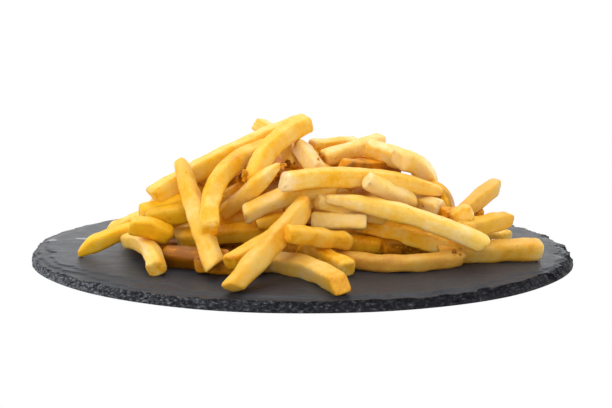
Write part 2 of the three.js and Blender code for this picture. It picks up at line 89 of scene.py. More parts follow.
# The front fries, from the back of the heap forwards: where each shows on the upright plane
# through the middle of the slate, its thickness, roll in degrees and tone, from 0, pale, to 1,
# dark orange. Of the options, lemon is how far its gold leans to yellow, and the option of painted
# shade is how far its gold turns to a dull, darker brown where the fry lies low and in shade; pale
# is how much paler each end is, and mottled is how blotchy it is. Taper is how far each end runs
# out to a point, cuts is the slope of each cut end, lean takes the place of LEAN, and a flat fry
# lies on the slate.
FRONT_FRIES = [
    ("crown_knob", [(-24, 69), (-1, 56)], 8.5, 10, 0.25, {"lemon": 0.3}),
    ("crown_arch", [(4.5, 57.3), (15, 58), (29, 58.8)], 8, 15, 0.3, {}),
    ("shade_back", [(21.5, 46.5), (51, 46.5)], 8, 10, 0.8, {"mottled": 0.3}),
    ("shade_mid", [(-41, 36), (-21, 44.5)], 9, 10, 0.8, {}),
    ("crown_stub", [(11, 51), (41, 60.5)], 8.5, 25, 0.25, {"pale": (0, 0.15)}),
    ("crown_right", [(33.5, 57), (56, 49.5)], 9.5, 30, 0.15, {"lemon": 0.2}),
    ("crest_bend", [(50, 50.5), (60.5, 47.5), (67, 37.5)], 10, 20, 0.06,
     {"lemon": 0.6, "pale": (0.15, 0)}),
    ("gold_bit", [(-10, 62.5), (-6.5, 46.5)], 8, 20, 0.2, {"lemon": 1}),
    ("shade_left", [(-45, 27), (-29, 36)], 8.5, 10, 0.4, {}),
    ("shade_low", [(-47, 15.5), (-20.5, 24)], 8.5, 15, 0.45, {}),
    ("tan_low", [(49.5, 25), (85.5, 17)], 8, 20, 0.35, {"mottled": 1.6}),
    ("bend_down", [(66.5, 36.5), (73.3, 32.5), (76.5, 21)], 8, 30, 0.82, {"lemon": 0.5}),
    ("pale_short", [(-1.5, 57), (8.5, 43.5)], 9, 20, 0.15, {}),
    ("left_back", [(-102, 12.3), (-76, 22.5)], 7, 25, 0.3, {"lemon": 0.3}),
    ("bright_left", [(-76, 26), (-54.5, 34.5)], 8, 15, 0.5, {"lemon": 1}),
    ("left_upper", [(-87, 20.6), (-60, 28.5)], 8, 25, 0.5, {"lemon": 1}),
    ("left_under", [(-84, 18), (-57, 22.5)], 10, 20, 0.76, {"taper": (0.7, 0), "lemon": 1}),
    ("left_tip", [(-120.5, -1.5), (-106.5, 6.6), (-90, 12)], 8.5, 20, 0.4,
     {"taper": (1, 0), "lemon": 0.9}),
    # Painted shade: the dark tones of left_dark and foot_dark stand for the shadow that they lie in.
    ("left_dark", [(-83.5, 3.5), (-53.5, 1.5)], 8, 10, 0.85, {}),
    ("foot_dark", [(-73, -2.1), (-38.5, -4.8)], 10, 35, 1.0, {"flat": True, "mottled": 0.5}),
    ("mid_orange", [(-68, 7.5), (-16.5, 12.5)], 9, 25, 0.42, {"pale": (0.25, 0)}),
    ("mid_orange_b", [(-25, 15.5), (5, 24.5)], 8, 20, 0.5, {}),
    ("mid_hidden", [(-10, 24), (12.5, 30.5)], 7.5, 20, 0.45, {}),
    ("top_long", [(-80, 29.8), (-38.5, 53), (-1, 69.2)], 10.5, 15, 0.35, {"lemon": 0.3}),
    ("left_elbow", [(-94, 6.5), (-83.3, 2.8), (-78.6, -9.6)], 8.5, 0, 0.3,
     {"tan": 0.1, "cuts": ((0, 0), (0.1, 0)), "lean": 3.0}),
    ("left_lump", [(-92, 14.5), (-83, 13.5), (-71, 8.5)], 9.5, 20, 0.52,
     {"lemon": 0.7, "cuts": ((0, -0.5), (0, 0))}),
    ("fork_left", [(-31.5, 20), (-9.5, 30.5), (17, 35.5)], 9, 35, 0.3, {"lemon": 0.3, "pale": (0.2, 0)}),
    ("foot_under", [(-57, -6.5), (-21, -7.5)], 8, 5, 0.8, {"flat": True}),
    ("steep_pale", [(-65, 49), (-57, 22.5), (-47, -8)], 9.5, 15, 0.33,
     {"taper": (0.5, 0), "tan": 0.14, "cuts": ((0, 0), (0, 1.0))}),
    ("elbow_top", [(-49.5, 11.5), (-45, 38.5), (-17.5, 57)], 9, 25, 0.45, {}),
    ("fork_top", [(2.6, 70.2), (-12.5, 61), (-27.5, 38.5)], 10, 30, 0.34,
     {"taper": (0, 0.5), "lemon": 0.4}),
    ("slim_point", [(-12.5, 48), (-28, 33.5), (-42, 21.5)], 8, 20, 0.3, {"taper": (1, 0), "lemon": 0.2}),
    ("long_level", [(-11.5, 38), (25, 41), (73.5, 33.5)], 9.5, 10, 0.41,
     {"taper": (0, 0.7), "pale": (0.35, 0)}),
    ("tan_high", [(46, 31.5), (74.5, 24.5)], 8, 25, 0.1, {"mottled": 1.6, "lemon": 0.3}),
    ("hole_fill", [(23, 5.5), (44.5, 4)], 8, 15, 0.5, {"mottled": 1.3}),
    # Painted shade: the dark tone of hole_fill_b stands for the shadow in the hole that it fills.
    ("hole_fill_b", [(43, 3.5), (68.5, 3.5)], 7.5, 10, 0.9, {"mottled": 1.3}),
    ("under_long", [(27, 18.5), (51.5, 11.5), (86, 2)], 9.5, 15, 0.42,
     {"taper": (0, 0.6), "mottled": 1.6}),
    ("right_bit", [(74, 21), (95.5, 21.5)], 7.5, 20, 0.7, {"mottled": 1.6}),
    ("right_flag", [(83.5, 21), (102.2, 36.8)], 8.2, 30, 0.58,
     {"taper": (0.5, 0), "lemon": 0.5, "pale": (0, 0.4), "cuts": ((0, 0), (0.6, 0)), "tan": 0.42}),
    ("right_knob", [(79.5, 18.5), (90.5, 23.5)], 9, 10, 0.3,
     {"tan": 0.14, "mottled": 1.6, "taper": (0.4, 0.4)}),
    ("right_stub", [(88, 13), (110, 8.2)], 8.5, 15, 0.1, {"lemon": 0.3}),
    ("right_thumb", [(84.5, 13), (109.8, 19)], 8.6, 15, 0.46,
     {"lemon": 0.6, "taper": (0, 0.2), "tan": 0.25}),
    ("foot_right", [(72, 0.5), (127.5, 2.8)], 10.6, 20, 0.32,
     {"flat": True, "pale": (0, 0.3), "mottled": 1.6, "tan": 0.38}),
    ("foot_smile", [(16, -2), (50, -5.5), (85, -1.8)], 8, 15, 0.52,
     {"flat": True, "mottled": 1.6, "tan": 0.6}),
    ("saddle", [(33.5, 39.5), (58, 27.5)], 8.5, 30, 0.08, {"pale": (0.2, 0), "lemon": 0.5}),
    ("low_knob", [(-3.5, 1), (10, 5)], 7.5, 10, 0.5, {"mottled": 1.3}),
    ("low_slant", [(3, 3), (24.5, -9)], 8.5, 20, 0.4, {"mottled": 1.3}),
    ("foot_front", [(-29, -6.2), (1, -7.8), (20.8, -17.6)], 9.5, 20, 0.32,
     {"flat": True, "taper": (0.5, 0.1), "cuts": ((0, 0), (-0.3, -0.2)), "pale": (0, -0.25), "tan": 0.25}),
    ("fan_pale", [(7, 28.5), (44.5, 19)], 7.5, 20, 0.14, {"lemon": 0.4}),
    # Painted light: the palest tone, below 0, brightens this fry where it lies in the shade of those
    # above.
    ("short_pale", [(5, 17.5), (34, 17)], 8.5, -15, -0.03,
     {"lean": 0.2, "lemon": 0.7, "cuts": ((0, 0), (0, 0.3))}),
    ("long_pale", [(12, 29.5), (51.5, 22), (97.5, 5)], 9, 15, 0.15, {"taper": (0.8, 0), "lemon": 0.3}),
    ("foot_slant", [(-39.5, -6), (-14.5, 9)], 8, 20, 0.4, {"pale": (-0.2, 0)}),
    ("front_diagonal", [(2, 26), (-38, -19.4)], 10.3, 15, 0.33,
     {"taper": (0, 0.35), "cuts": ((0.7, -0.5), (-0.8, 0)), "pale": (-0.35, 0), "tan": 0.26}),
    ("short_level", [(-8.5, 10.5), (24, 6.5)], 8.5, 15, 0.34, {"pale": (-0.15, 0), "tan": 0.1}),
]

# Tones and lemon of the fries that are dropped.
BACK_TONES = (0.2, 0.7)
BACK_LEMON = (0, 0.5)

# -------- laying the fries

SHARES = np.linspace(0, 1, SAMPLES)
BACK = np.array([0.0, 1.0, 0.0])
UP = np.array([0.0, 0.0, 1.0])
FACTOR = 16807
MODULUS = 2147483647


class Seeded:
    """Random numbers from 0 to 1 in a fixed order, the same as the solids' rule draws."""

    def __init__(self, seed):
        self.state = seed
        for _ in range(4):
            self.draw()

    def draw(self):
        self.state = self.state * FACTOR % MODULUS
        return self.state / MODULUS

    def between(self, low, high):
        return low + (high - low) * self.draw()


@dataclass
class Fry:
    """One fry at rest: the line of its middle, and how its square section lies on it."""

    path: np.ndarray
    thick: float
    roll: float
    facing: np.ndarray
    tone: float
    taper: tuple = (0, 0)
    lemon: float = 0.0
    # Painted shade: how far the fry turns to a dull, darker brown where it lies in shade.
    tan: float = 0.0
    pale: tuple = (0.0, 0.0)
    mottled: float = 1.0
    cuts: tuple | None = None


def core_height(x, y):
    depth = np.where(y < CORE["y"], CORE["front"], CORE["back"])
    out = np.hypot((x - CORE["x"]) / CORE["side"], (y - CORE["y"]) / depth)
    return PLATE_TOP + CORE["height"] * (1 - out ** CORE["power"])


def half_thickness(thick, taper, shares):
    """Half the thickness along a fry, less where an end runs out to a point."""
    slim = thick / 2
    for amount, from_end in ((taper[0], shares), (taper[1], 1 - shares)):
        in_tip = np.clip(1 - from_end / TIP_REACH, 0, 1)
        slim = slim * (1 - amount * (1 - TIP_THICKNESS) * in_tip**TIP_POWER)
    return slim


def contact_radii(thick, taper):
    radii = half_thickness(thick, taper, SHARES) * np.ones(SAMPLES)
    for from_end, share in enumerate(END_BED):
        radii[from_end] *= share
        radii[-1 - from_end] *= share
    return radii


class Heap:
    """Fries at rest on the slate, on a core and on each other."""

    def __init__(self, core):
        self.core = core
        self.fries = []
        self.starts = np.zeros((0, 3))
        self.ends = np.zeros((0, 3))
        self.radii = np.zeros(0)

    def clearance(self, points, radii):
        """Clear distance between balls and everything in the heap."""
        clear = points[:, 2] - radii - PLATE_TOP
        over_core = points[:, 2] - radii * CORE_BED - self.core(points[:, 0], points[:, 1])
        clear = np.minimum(clear, over_core * CORE_STEEPNESS)
        if len(self.radii) == 0:
            return clear
        stretch = self.ends - self.starts
        offset = points[:, None] - self.starts
        along = np.einsum("psk,sk->ps", offset, stretch) / np.einsum("sk,sk->s", stretch, stretch)
        offset -= np.clip(along, 0, 1)[..., None] * stretch
        gap = np.sqrt(np.einsum("psk,psk->ps", offset, offset))
        return np.minimum(clear, (gap - (radii[:, None] + self.radii) * SNUG).min(1))

    def travel(self, starts, steps, radii, limit):
        """How far balls move from starts, in the given steps, before they touch."""
        moved = np.zeros(len(starts))
        moving = np.arange(len(starts))
        while len(moving):
            at = starts[moving] + steps[moving] * moved[moving, None]
            clear = self.clearance(at, radii[moving])
            free = clear >= TOUCH
            moving = moving[free]
            moved[moving] += np.maximum(clear[free], LEAST_STEP)
            moving = moving[moved[moving] < limit]
        return np.minimum(moved, limit)

    def rest(self, fry):
        """Adds a fry. The line that carries others stops short of its cut ends."""
        carrying = fry.path.copy()
        for end, beside in ((0, 1), (-1, -2)):
            inward = fry.path[beside] - fry.path[end]
            carrying[end] += inward / np.linalg.norm(inward) * END_TRIM * fry.thick / 2
        self.fries.append(fry)
        self.starts = np.vstack([self.starts, carrying[:-1]])
        self.ends = np.vstack([self.ends, carrying[1:]])
        self.radii = np.append(self.radii, np.full(len(carrying) - 1, fry.thick / 2))


def resting_line(travels, most_slope):
    """The straight line of moves that a stiff fry comes to rest on."""
    last = SAMPLES - 1
    middle = last / 2
    left = np.arange(SAMPLES)[:, None]
    right = np.arange(SAMPLES)[None]
    spans = (left < middle) & (right > middle)
    slopes = (travels[None] - travels[:, None]) / np.where(spans, right - left, 1) * last
    at_middle = np.where(spans, travels[:, None] + slopes * (middle - left) / last, np.inf)
    slope = slopes.flat[np.argmin(at_middle)]
    slope = min(max(slope, -most_slope), most_slope)
    return (travels - slope * SHARES).min() + slope * SHARES


def samples_through(points):
    """Points along a line through two points, or a smooth bend through three."""
    points = np.array(points, float)
    if len(points) == 2:
        return points[0] + np.outer(SHARES, points[1] - points[0])
    before, after = np.hypot(*np.diff(points, axis=0).T)
    bend_at = before / (before + after)
    weights = np.stack([
        (SHARES - bend_at) * (SHARES - 1) / bend_at,
        SHARES * (SHARES - 1) / (bend_at * (bend_at - 1)),
        SHARES * (SHARES - bend_at) / (1 - bend_at),
    ])
    return weights.T @ points


def sight_lines(sheet):
    """Starts and steps of the lines of sight through points (x, z) of the upright plane."""
    on_sheet = np.stack([sheet[:, 0], np.zeros(len(sheet)), sheet[:, 1]], 1)
    steps = (on_sheet - EYE) / -EYE[1]
    return EYE + steps * (NEAR_Y - EYE[1]), steps


def lay_back(heap, at, thick, roll, tone, flat=False, lean=LEAN, taper=(0, 0), **looks):
    """Lays a fry of the front back along its lines of sight until it rests."""
    sheet = samples_through(at)
    starts, steps = sight_lines(sheet)
    if flat:
        heights = PLATE_TOP + half_thickness(thick, taper, SHARES)
        moves = (heights - starts[:, 2]) / steps[:, 2]
    else:
        travels = heap.travel(starts, steps, contact_radii(thick, taper), MOST_TRAVEL)
        length = np.hypot(*np.diff(sheet, axis=0).T).sum()
        moves = resting_line(travels, lean * length)
    path = starts + steps * moves[:, None]
    heap.rest(Fry(path, thick, roll, BACK, tone, taper, **looks))


def drop_path(heap, x, y, heading, length, thick, bend, most_tilt):
    """The line of a fry that is dropped straight down with its middle over (x, y)."""
    along = np.array([math.cos(heading), math.sin(heading), 0])
    across = np.array([-along[1], along[0], 0])
    shares = SHARES - 0.5
    starts = np.array([x, y, PILE["drop_from"]]) + np.outer(shares * length, along)
    starts += np.outer(bend * (4 * shares**2 - 1 / 3), across)
    steps = np.tile(-UP, (SAMPLES, 1))
    travels = heap.travel(starts, steps, contact_radii(thick, (0, 0)), PILE["drop_from"])
    return starts + steps * resting_line(travels, most_tilt * length)[:, None]


def stays_in_heap(path, thick):
    """Whether a dropped fry stays inside the heap's outline from the front and from above."""
    near = -EYE[1] / (path[:, 1] - EYE[1])
    x = EYE[0] + (path[:, 0] - EYE[0]) * near
    z = EYE[2] + (path[:, 2] - EYE[2]) * near
    floor = np.maximum(core_height(path[:, 0], path[:, 1]), PLATE_TOP)
    low = z + thick * PILE["headroom"] <= np.interp(x, *SKYLINE.T)
    near_floor = path[:, 2] <= floor + PILE["loft"]
    return bool(np.all(low & near_floor & (np.hypot(path[:, 0], path[:, 1]) <= PILE["edge"])))


def drop_pile(heap):
    rule = Seeded(PILE["seed"])
    tones = np.random.default_rng(PILE["seed"])
    for _ in range(PILE["tries"]):
        if len(heap.fries) == PILE["wanted"]:
            break
        x = CORE["x"] + PILE["half_width"] * (2 * rule.draw() - 1)
        y = PILE["front"] + PILE["depth"] * rule.draw()
        heading = math.pi * rule.draw()
        length = rule.between(*PILE["length"])
        thick = rule.between(*PILE["thickness"])
        roll = PILE["roll"] * rule.draw()
        bend = PILE["bend"] * (rule.draw() - 0.5)
        path = drop_path(heap, x, y, heading, length, thick, bend, PILE["tilt"])
        if stays_in_heap(path, thick):
            tone, lemon = tones.uniform(*BACK_TONES), tones.uniform(*BACK_LEMON)
            heap.rest(Fry(path, thick, roll, UP, tone, lemon=lemon))


def lay_heap():
    """The outer fries: those of the back first, and then those of the front."""
    heap = Heap(core_height)
    drop_pile(heap)
    for _, at, thick, roll, tone, options in FRONT_FRIES:
        lay_back(heap, at, thick, roll, tone, **options)
    return heap


# -------- the fries underneath

UNDER = {
    "seed": 4, "tries": 900, "length": (34, 62), "thickness": (7.6, 9.2), "bend": 3, "roll": 45,
    "tilt": 0.8, "proud": 1.5, "lowered": 11.0, "reach": 0.95, "tone": (0.1, 0.45),
}
UNDER_INDEX = 500  # past those of all other fries


def inner_core_height(x, y):
    return core_height(x, y) - UNDER["lowered"]


def lay_under():
    """A layer of fries that fills the gaps. It lies where the solid's core is, on a smaller core."""
    heap = Heap(inner_core_height)
    draw = np.random.default_rng(UNDER["seed"])
    for _ in range(UNDER["tries"]):
        out = math.sqrt(draw.uniform(0, UNDER["reach"] ** 2))
        turn = draw.uniform(0, 2 * math.pi)
        depth = CORE["front"] if math.sin(turn) < 0 else CORE["back"]
        x = CORE["x"] + CORE["side"] * out * math.cos(turn)
        y = CORE["y"] + depth * out * math.sin(turn)
        heading, length = draw.uniform(0, math.pi), draw.uniform(*UNDER["length"])
        thick, bend = draw.uniform(*UNDER["thickness"]), draw.uniform(-1, 1) * UNDER["bend"]
        roll, tone = draw.uniform(0, UNDER["roll"]), draw.uniform(*UNDER["tone"])
        path = drop_path(heap, x, y, heading, length, thick, bend, UNDER["tilt"])
        top = path[:, 2] + thick / 2
        if np.all(top <= core_height(path[:, 0], path[:, 1]) + UNDER["proud"]):
            heap.rest(Fry(path, thick, roll, UP, tone))
    return heap


# -------- crisp crumbs

CRUMB_SEED = 9
CRUMB_SCATTER = 0.6  # of a cluster's spread
CRUMB_BUMPS = 0.28
CRUMB_STRETCH = (0.6, 1.2)
CRUMB_TONES = (0.7, 1.15)
# Clusters of crumbs: where each shows on the upright plane, how many there are, how far they
# spread, and their least and most size.
CRUMBS = [
    ((-31.5, 41.5), 9, 2.0, (1.2, 3.2)),
    ((-34, 40), 6, 2.0, (1.0, 3.0)),
    ((-9, 48), 9, 3.0, (1.0, 3.4)),
    ((9.5, 51), 9, 1.6, (1.0, 2.6)),
    ((61, 26), 5, 2.5, (0.8, 2.0)),
    ((84, 1), 8, 2.5, (0.8, 2.2)),
    ((54, 2), 6, 4.0, (0.8, 2.0)),
]


def lay_crumbs(heap):
    """Middles and sizes of the crumbs, each laid back from its place in view until it touches."""
    draw = np.random.default_rng(CRUMB_SEED)
    places, sizes = [], []
    for place, count, spread, limits in CRUMBS:
        for _ in range(count):
            places.append(place + spread * draw.normal(0, CRUMB_SCATTER, 2))
            sizes.append(draw.uniform(*limits))
    starts, steps = sight_lines(np.array(places))
    moved = heap.travel(starts, steps, np.array(sizes) / 2, MOST_TRAVEL)
    return starts + steps * moved[:, None], sizes


def crumbs_object(heap):
    """All crumbs as one mesh of small lumps."""
    draw = np.random.default_rng(CRUMB_SEED)
    ball = bmesh.new()
    bmesh.ops.create_icosphere(ball, subdivisions=2, radius=0.5)
    shape = np.array([vertex.co for vertex in ball.verts])
    faces = np.array([[vertex.index for vertex in face.verts] for face in ball.faces])
    ball.free()
    middles, sizes = lay_crumbs(heap)
    vertices, triangles = [], []
    for index, (middle, size) in enumerate(zip(middles, sizes)):
        bumps = 1 + CRUMB_BUMPS * draw.normal(0, 1, (len(shape), 1))
        stretch = draw.uniform(*CRUMB_STRETCH, 3)
        vertices.append(middle + size * stretch * shape * bumps)
        triangles.append(faces + index * len(shape))
    vertices = np.vstack(vertices)
    piece = mesh_object("crumbs", vertices, np.vstack(triangles).tolist(), smooth=False)
    tones = np.repeat(draw.uniform(*CRUMB_TONES, len(sizes)), len(shape))
    add_attribute(piece, "tone", tones)
    for name in ("lemon", "tan", "mottled", "crisp"):
        add_attribute(piece, name, np.zeros(len(vertices)))
    add_attribute(piece, "grain", vertices)
    return piece


# -------- one fry as a mesh

# Rings at a cut end, from its middle outwards: how far in from the cut, how wide, and how much
# of the crisp outline of the cut lies there.
END_RINGS = [(0.3, 0.35, 0.0), (0.1, 0.65, 0.1), (0.25, 0.83, 0.5), (0.85, 0.94, 1.0), (2.0, 1.0, 0.3)]
END_LENGTH = 3.2
PALE_REACH = 4.0
# Points round a fry, and how far apart its rings are.
BACK_MESH = (28, 1.9)
FRONT_MESH = (32, 1.6)
UNDER_MESH = (16, 3.0)
SQUARENESS = (3.0, 4.6)
SLIM = 0.97  # leaves room for the lumps
MOST_TWIST = 8
HOLLOW = (-0.01, 0.05)  # how far the faces sink in between the corners
# Waves on a fry: how many, their least and most length, and most times that one runs round it.
LUMPS = (6, (9, 30), 3)
FINE_LUMPS = (8, (2.5, 6), 7)
SWELLS = (3, (16, 45), 0)
TONE_PATCHES = (4, (20, 60), 1)
LUMP_HEIGHT = 0.17
FINE_HEIGHT = 0.035
SWELL_SHARE = 0.045
FACE_TONES = 0.1
PATCH_TONES = 0.06
EDGE_TONE = 0.1
CORNER_CRISP = 0.25
GRAIN_ROOM = 800  # each fry has its own stretch of the materials' noise, within this


def section_ring(points, squareness):
    """A square with round corners, in halves of the thickness, its angles, and 1 at its corners."""
    angle = 2 * math.pi * (np.arange(points) + 0.5) / points
    cosine, sine = np.cos(angle), np.sin(angle)
    a = np.sign(cosine) * np.abs(cosine) ** (2 / squareness)
    b = np.sign(sine) * np.abs(sine) ** (2 / squareness)
    corner = np.minimum(np.abs(a), np.abs(b)) / np.maximum(np.abs(a), np.abs(b))
    return a, b, angle, corner**2


def waves(draw, along, around, count, lengths, most_turns):
    """A sum of waves that run along a fry and round it."""
    height = np.zeros(np.broadcast(along, around).shape)
    for _ in range(count):
        length = draw.uniform(*lengths)
        turns = draw.integers(0, most_turns + 1)
        height += np.sin(2 * math.pi * (along / length + draw.uniform()) + turns * around)
    return height / math.sqrt(count)


def ring_places(length, step):
    """Of each ring from one cut end to the other: how far along, how wide and how crisp."""
    inward, wide, crisp = np.array(END_RINGS).T
    count = max(int((length - 2 * END_LENGTH) / step), 3)
    body = np.linspace(END_LENGTH, length - END_LENGTH, count)
    places = np.concatenate([inward, body, length - inward[::-1]])
    wide = np.concatenate([wide, np.ones(count), wide[::-1]])
    return places, wide, np.concatenate([crisp, np.zeros(count), crisp[::-1]])


def left_to_right(fry, cuts):
    """The fry's line, tapers, cuts and pale ends, in the order in which its solid is built."""
    cuts = np.array(fry.cuts) if fry.cuts else cuts
    if fry.path[-1][0] < fry.path[0][0]:
        given = cuts[::-1] if fry.cuts else cuts
        return fry.path[::-1], fry.taper[::-1], given, fry.pale[::-1]
    return fry.path, fry.taper, cuts, fry.pale


def unit(vectors):
    return vectors / np.linalg.norm(vectors, axis=1, keepdims=True)


def section_frames(path, shares, facing, roll):
    """Middles of the rings, the direction along the fry, and the section's two axes."""
    curve = [np.polyfit(SHARES, path[:, axis], 3) for axis in range(3)]
    centres = np.stack([np.polyval(c, shares) for c in curve], 1)
    along = unit(np.stack([np.polyval(np.polyder(c), shares) for c in curve], 1))
    rise = unit(np.cross(along, facing))
    front = np.cross(along, rise)
    cosine, sine = np.cos(np.radians(roll))[:, None], np.sin(np.radians(roll))[:, None]
    return centres, along, rise * cosine + front * sine, front * cosine - rise * sine


def tube_faces(rings, points):
    """Quads between the rings, and the fans that close the ends on the two vertices after them."""
    first = np.arange(points)
    after = (first + 1) % points
    ring = np.arange(rings - 1)[:, None] * points
    quads = np.stack([ring + first, ring + after, ring + points + after, ring + points + first], -1)
    last = (rings - 1) * points
    start_fan = np.stack([np.full(points, rings * points), after, first], 1)
    end_fan = np.stack([np.full(points, rings * points + 1), last + first, last + after], 1)
    return quads.reshape(-1, 4), np.vstack([start_fan, end_fan])


def uneven_section(draw, ring, half, thick, far):
    """How far the points of the rings lie from the middle, along the section's two axes."""
    a, b, angle, corner = ring
    lumps = LUMP_HEIGHT * waves(draw, far, angle[None], *LUMPS)
    fine = FINE_HEIGHT * waves(draw, far, angle[None], *FINE_LUMPS)
    hollow = draw.uniform(*HOLLOW) * (1 - corner)
    size = half * (1 + (lumps + fine) / (thick / 2)) * (1 - hollow)
    height = a * size * (1 + SWELL_SHARE * waves(draw, far, 0, *SWELLS))
    width = b * size * (1 + SWELL_SHARE * waves(draw, far, 0, *SWELLS))
    return height, width


def uneven_tones(draw, tone, ring, far):
    """A fry's tone, which differs a little from face to face and along each face."""
    _, _, angle, corner = ring
    face = np.round(angle / (math.pi / 2)).astype(int) % 4
    tone = tone + EDGE_TONE * corner + FACE_TONES * draw.uniform(-1, 1, 4)[face]
    return tone + PATCH_TONES * waves(draw, far, angle[None], *TONE_PATCHES)


def fry_arrays(fry, index, points, step):
    """Vertices, quads, triangles and attributes of one fry."""
    draw = np.random.default_rng(CUT_SEED + index)
    rule = Seeded(CUT_SEED + index)
    slants = np.array([CUT_SLANT * (2 * rule.draw() - 1) for _ in range(4)]).reshape(2, 2)
    path, taper, slants, pale = left_to_right(fry, slants)
    length = np.linalg.norm(np.diff(path, axis=0), axis=1).sum()
    places, wide, crisp = ring_places(length, step)
    shares = places / length
    twist = draw.uniform(-MOST_TWIST, MOST_TWIST) * (shares - 0.5)
    centres, along, u, v = section_frames(path, shares, fry.facing, fry.roll + twist)

    ring = section_ring(points, draw.uniform(*SQUARENESS))
    a, b, _, corner = ring
    far = places[:, None]
    half = (half_thickness(fry.thick, taper, shares) * SLIM * wide)[:, None]
    height, width = uneven_section(draw, ring, half, fry.thick, far)
    tone = uneven_tones(draw, fry.tone, ring, far)
    shear = np.zeros_like(height)
    for slant, paleness, from_end in ((slants[0], pale[0], far), (slants[1], pale[1], length - far)):
        shear += (a * slant[0] + b * slant[1]) * half * np.clip(1 - from_end / fry.thick, 0, 1)
        tone = tone - paleness * np.exp(-((from_end / PALE_REACH) ** 2))
    vertices = centres[:, None] + height[..., None] * u[:, None] + width[..., None] * v[:, None]
    vertices += shear[..., None] * along[:, None]

    ones = np.ones((len(places), points))
    grain = np.stack([far * ones, height, width], -1) + GRAIN_ROOM * draw.uniform(0, 1, 3)
    columns = {
        "tone": tone,
        "lemon": fry.lemon * ones,
        "tan": fry.tan * ones,
        "mottled": fry.mottled * ones,
        "crisp": np.maximum(crisp[:, None], CORNER_CRISP * corner),
        "grain": grain,
    }
    columns = {name: close_ends(values) for name, values in columns.items()}
    quads, fans = tube_faces(len(places), points)
    return close_ends(vertices), quads, fans, columns


def close_ends(rings):
    """The values of all rings in a row, and then the means of the first and the last ring."""
    flat = rings.reshape(-1, *rings.shape[2:])
    return np.concatenate([flat, rings[[0, -1]].mean(1)])


# -------- meshes and objects


def new_object(name, data):
    thing = bpy.data.objects.new(name, data)
    bpy.context.scene.collection.objects.link(thing)
    return thing


def mesh_object(name, vertices, faces, smooth=True):
    """A mesh object from millimetres."""
    mesh = bpy.data.meshes.new(name)
    mesh.from_pydata(np.asarray(vertices) * MM, [], faces)
    mesh.polygons.foreach_set("use_smooth", np.full(len(mesh.polygons), smooth))
    mesh.update()
    return new_object(name, mesh)


def add_attribute(piece, name, values):
    values = np.asarray(values, np.float32)
    kind, field = ("FLOAT_VECTOR", "vector") if values.ndim == 2 else ("FLOAT", "value")
    attribute = piece.data.attributes.new(name, kind, "POINT")
    attribute.data.foreach_set(field, values.ravel())


def dress(piece, material, replaced):
    """Gives a piece its material and its place in the frame."""
    piece.data.materials.append(material)
    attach(piece, BODY)
    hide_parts(replaced)


def fries_object(name, fries, first_index, points, step):
    """All of the given fries as one mesh."""
    vertices, faces, columns = [], [], {}
    count = 0
    for offset, fry in enumerate(fries):
        corners, quads, fans, values = fry_arrays(fry, first_index + offset, points, step)
        vertices.append(corners)
        faces += (quads + count).tolist() + (fans + count).tolist()
        for key, column in values.items():
            columns.setdefault(key, []).append(column)
        count += len(corners)
    piece = mesh_object(name, np.vstack(vertices), faces)
    for key, column in columns.items():
        add_attribute(piece, key, np.concatenate(column))
    return piece


# -------- slate

RIM_STEPS = 1200
SLATE_SEED = 23
# Slow waves of the outline: how many go round, their phase and their height.
OUTLINE_WAVES = [(2, math.pi / 2, 1.35), (3, 0.7, 0.45), (7, 2.1, 0.22), (13, 0, 0.13)]
BOX_ROOM = 0.05  # clear distance that the outline keeps from the CAD solid's box
# Knapping has left shell-shaped scars round the rim. Widths are in degrees, heights are shares
# of the thickness, and depths are in millimetres. Every sheet of the slate has also broken off
# a little further in than the sheet below it.
SCARS = [
    {"count": 95, "width": (1.4, 4.0), "height": (0.5, 1.3), "depth": (0.4, 3.0)},
    {"count": 420, "width": (0.5, 1.4), "height": (0.15, 0.6), "depth": (0.2, 1.1)},
]
SHEETS = 5
SHEET_BREAKS = {"count": 110, "width": (0.8, 3.4), "depth": (0.0, 0.6)}
# In degrees, where the rim is broken back furthest, and where the rim is painted palest, as painted light
# from the left.
WIDE_RIM_AT = -40
LIT_RIM_AT = 190
WIDER_RIM = 0.4
SCAR_MIDDLES = (0, 1.2)  # how high up the rim they lie
SCAR_FADE = 0.5  # power of the height by which scars fade towards the underside
RIM_FOOT = 0.12  # share of the height below the sheets
SHEET_LEVELS = [0, 0.5, 0.98]  # where a sheet has its rings, as shares of it
RIM_BEVEL = 1.0
RIM_LEAST = 0.15
RIM_SLOPE = 0.7
LIP_DROP = 0.05
LIP_RIM = 0.3  # how far the first ring of the top looks like the rim
# The rings of the top: close together for EDGE_WIDTH from the edge, and then wider apart.
FIRST_RING = 0.3
EDGE_RINGS = 26
EDGE_WIDTH = 22.0
TOP_RINGS = 54
INNERMOST = 8
# The flaked top: how far in the flakes reach, their depth, the waves of their outline round the
# rim, how much further they reach at the left and at the front, and the width of their step.
FLAKES = [{"reach": (2, 9), "depth": 0.5, "seed": 3}, {"reach": (5, 17), "depth": 0.4, "seed": 8}]
FLAKE_WAVES = (3, 5, 9, 14, 23, 37, 61)
FLAKE_PHASES = (0, 6.3)
FLAKED_LEFT = 0.25
FLAKED_FRONT = 0.35
FLAKE_STEP = 0.8
# White scuffs on the top: x, y, length and width.
SCUFFS = [(-119, 9, 7, 3), (-136, 4, 4, 3)]
SCUFF_SHARE = 0.39
# The split top: low steps along the level lines of a swell of long waves, most of which run
# from front to back.
CLEFT_DEPTH = 0.2
CLEFT_STEPS = 6
CLEFT_EDGE = 0.12
CLEFT_WAVES = 16
CLEFT_HEADINGS = (math.pi / 2, 0.7)
CLEFT_LENGTHS = (14, 110)


def across_scar(draw, angles, widths):
    """How far the angles lie from the middle of a scar, as a share of its width."""
    away = (angles - draw.uniform(0, 360) + 180) % 360 - 180
    return away / draw.uniform(*widths)


